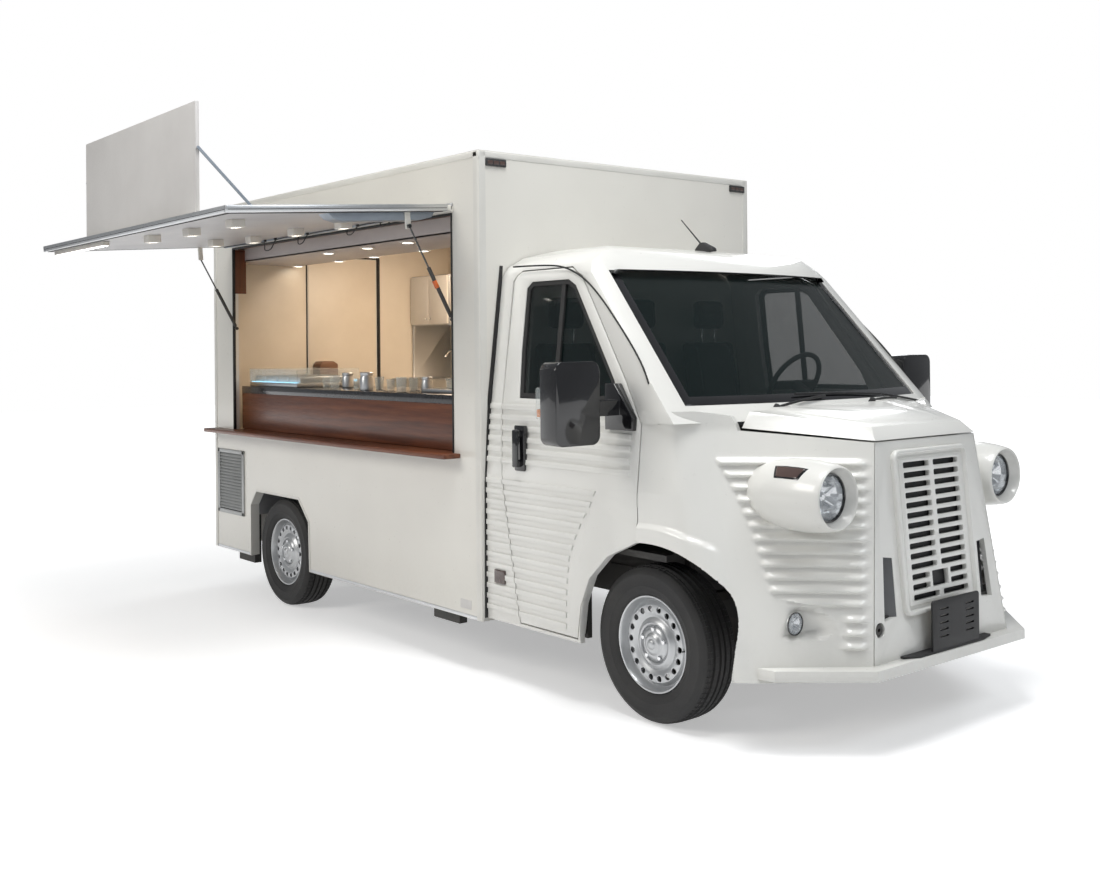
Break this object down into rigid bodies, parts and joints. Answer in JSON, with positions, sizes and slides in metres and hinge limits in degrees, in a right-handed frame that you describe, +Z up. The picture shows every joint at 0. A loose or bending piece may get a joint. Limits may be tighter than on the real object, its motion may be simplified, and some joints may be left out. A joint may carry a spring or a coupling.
{
  "type": "food truck",
  "caption": "Van-based food truck with a ribbed retro cab, box body, lift-up serving hatch, folding sign, steering and rolling wheels, opening doors and bonnet.",
  "frame": {"origin": "middle of the bounding box, on the ground", "axes": "+X to the front of the truck, +Y to its left, +Z up"},
  "size_m": [5.48, 3.773, 2.9768],
  "materials": {
    "body_paint": "gloss",
    "chassis_black": "satin",
    "engine": "rough",
    "suspension": "rough",
    "tyre": "matt",
    "rim_steel": "satin",
    "cab_glass": "clear",
    "lamp_glass": "clear",
    "black_gloss": "gloss",
    "black_matte": "matt",
    "dashboard": "matt",
    "seat_cloth": "woven",
    "box_skin": "gloss",
    "floor": "studded",
    "wood": "oiled",
    "steel": "brushed",
    "white_unit": "satin",
    "aluminium": "satin",
    "sign": "satin",
    "stay_grey": "satin",
    "red_lamp": "gloss",
    "tank": "matt"
  },
  "bodies": {
    "chassis": {"box_floor": "floor", "box_front_wall": "box_skin", "box_rear_wall": "box_skin", "box_roof": "box_skin", "box_side_left": "box_skin", "box_side_right": "box_skin", "bumper": "body_paint", "cab_floor": "chassis_black", "cab_shell": "body_paint", "counter": "white_unit", "dashboard": "dashboard", "engine_block": "engine", "frame_rails": "chassis_black", "front_suspension": "suspension", "fuel_tank": "tank", "galley": "steel", "grille": "body_paint", "headlamp_pods": "body_paint", "lamp_lenses": "lamp_glass", "nose_panel": "body_paint", "nose_shell": "body_paint", "plate_bracket": "black_matte", "radiator": "black_matte", "rear_axle": "suspension", "rear_lamps": "red_lamp", "seats": "seat_cloth", "shelf": "wood", "stabilisers": "chassis_black", "steering_wheel": "black_matte", "vent": "aluminium", "windscreen": "cab_glass"},
    "knuckle_right": {"knuckle_right": "suspension"},
    "knuckle_left": {"knuckle_left": "suspension"},
    "wheel_front_right": {"tyre_fr": "tyre", "rim_fr": "rim_steel"},
    "wheel_front_left": {"tyre_fl": "tyre", "rim_fl": "rim_steel"},
    "wheel_rear_right": {"tyre_rr": "tyre", "rim_rr": "rim_steel"},
    "wheel_rear_left": {"tyre_rl": "tyre", "rim_rl": "rim_steel"},
    "door_right": {"door_right": "body_paint", "glass_right": "cab_glass", "mirror_right": "black_gloss"},
    "door_left": {"door_left": "body_paint", "glass_left": "cab_glass", "mirror_left": "black_gloss"},
    "bonnet": {"bonnet": "body_paint"},
    "rear_door": {"rear_door": "box_skin"},
    "hatch": {"hatch": "aluminium"},
    "sign": {"sign_panel": "sign"},
    "sign_stays": {"sign_stays": "stay_grey"},
    "strut_cylinders": {"strut_cylinders": "chassis_black"},
    "strut_rods": {"strut_rods": "steel"}
  },
  "joints": [
    {"name": "steer_left", "type": "hinge", "parent": "chassis", "child": "knuckle_left", "pos_m": [1.78, 1.24147, 0.358], "axis": [0, 0, 1], "range_deg": [-35, 35]},
    {"name": "steer_right", "type": "hinge", "parent": "chassis", "child": "knuckle_right", "pos_m": [1.78, -0.30853, 0.358], "axis": [0, 0, 1], "range_deg": [-35, 35]},
    {"name": "spin_front_left", "type": "hinge", "parent": "knuckle_left", "child": "wheel_front_left", "pos_m": [1.78, 1.32147, 0.358], "axis": [0, 1, 0], "continuous": true},
    {"name": "spin_front_right", "type": "hinge", "parent": "knuckle_right", "child": "wheel_front_right", "pos_m": [1.78, -0.38853, 0.358], "axis": [0, 1, 0], "continuous": true},
    {"name": "spin_rear_left", "type": "hinge", "parent": "chassis", "child": "wheel_rear_left", "pos_m": [-1.67, 1.39147, 0.358], "axis": [0, 1, 0], "continuous": true},
    {"name": "spin_rear_right", "type": "hinge", "parent": "chassis", "child": "wheel_rear_right", "pos_m": [-1.67, -0.45853, 0.358], "axis": [0, 1, 0], "continuous": true},
    {"name": "door_right_hinge", "type": "hinge", "parent": "chassis", "child": "door_right", "pos_m": [1.775, -0.55353, 1], "axis": [0, 0, 1], "range_deg": [0, 65]},
    {"name": "door_left_hinge", "type": "hinge", "parent": "chassis", "child": "door_left", "pos_m": [1.775, 1.48647, 1], "axis": [0, 0, -1], "range_deg": [0, 65]},
    {"name": "bonnet_hinge", "type": "hinge", "parent": "chassis", "child": "bonnet", "pos_m": [2.114, 0.46647, 1.43], "axis": [0, -1, 0], "range_deg": [0, 60]},
    {"name": "rear_door_hinge", "type": "hinge", "parent": "chassis", "child": "rear_door", "pos_m": [-2.71, 0.77647, 1.5], "axis": [0, 0, -1], "range_deg": [0, 100]},
    {"name": "hatch_hinge", "type": "hinge", "parent": "chassis", "child": "hatch", "pos_m": [-1.005, -0.59553, 2.458], "axis": [1, 0, 0], "range_deg": [0, 86]},
    {"name": "sign_fold", "type": "hinge", "parent": "hatch", "child": "sign", "pos_m": [-0.9, -1.81353, 2.4119], "axis": [-1, 0, 0], "range_deg": [0, 86]},
    {"name": "stays_fold", "type": "hinge", "parent": "hatch", "child": "sign_stays", "pos_m": [-0.9, -1.51153, 2.43705], "axis": [-1, 0, 0], "range_deg": [0, 131]},
    {"name": "strut_swing", "type": "hinge", "parent": "chassis", "child": "strut_cylinders", "pos_m": [-1.005, -0.56853, 1.87], "axis": [1, 0, 0], "range_deg": [-37.59, 0.2]},
    {"name": "strut_slide", "type": "slide", "parent": "strut_cylinders", "child": "strut_rods", "axis": [0, -0.4818, 0.8763], "range_m": [-0.22101, 0.0005]}
  ],
  "couplings": [
    {"joint": "steer_right", "follows": "steer_left", "ratio": 1},
    {"joint": "strut_swing", "follows": "hatch_hinge", "ratio": -0.43472},
    {"joint": "strut_slide", "follows": "hatch_hinge", "m_per_rad": -0.14691}
  ]
}
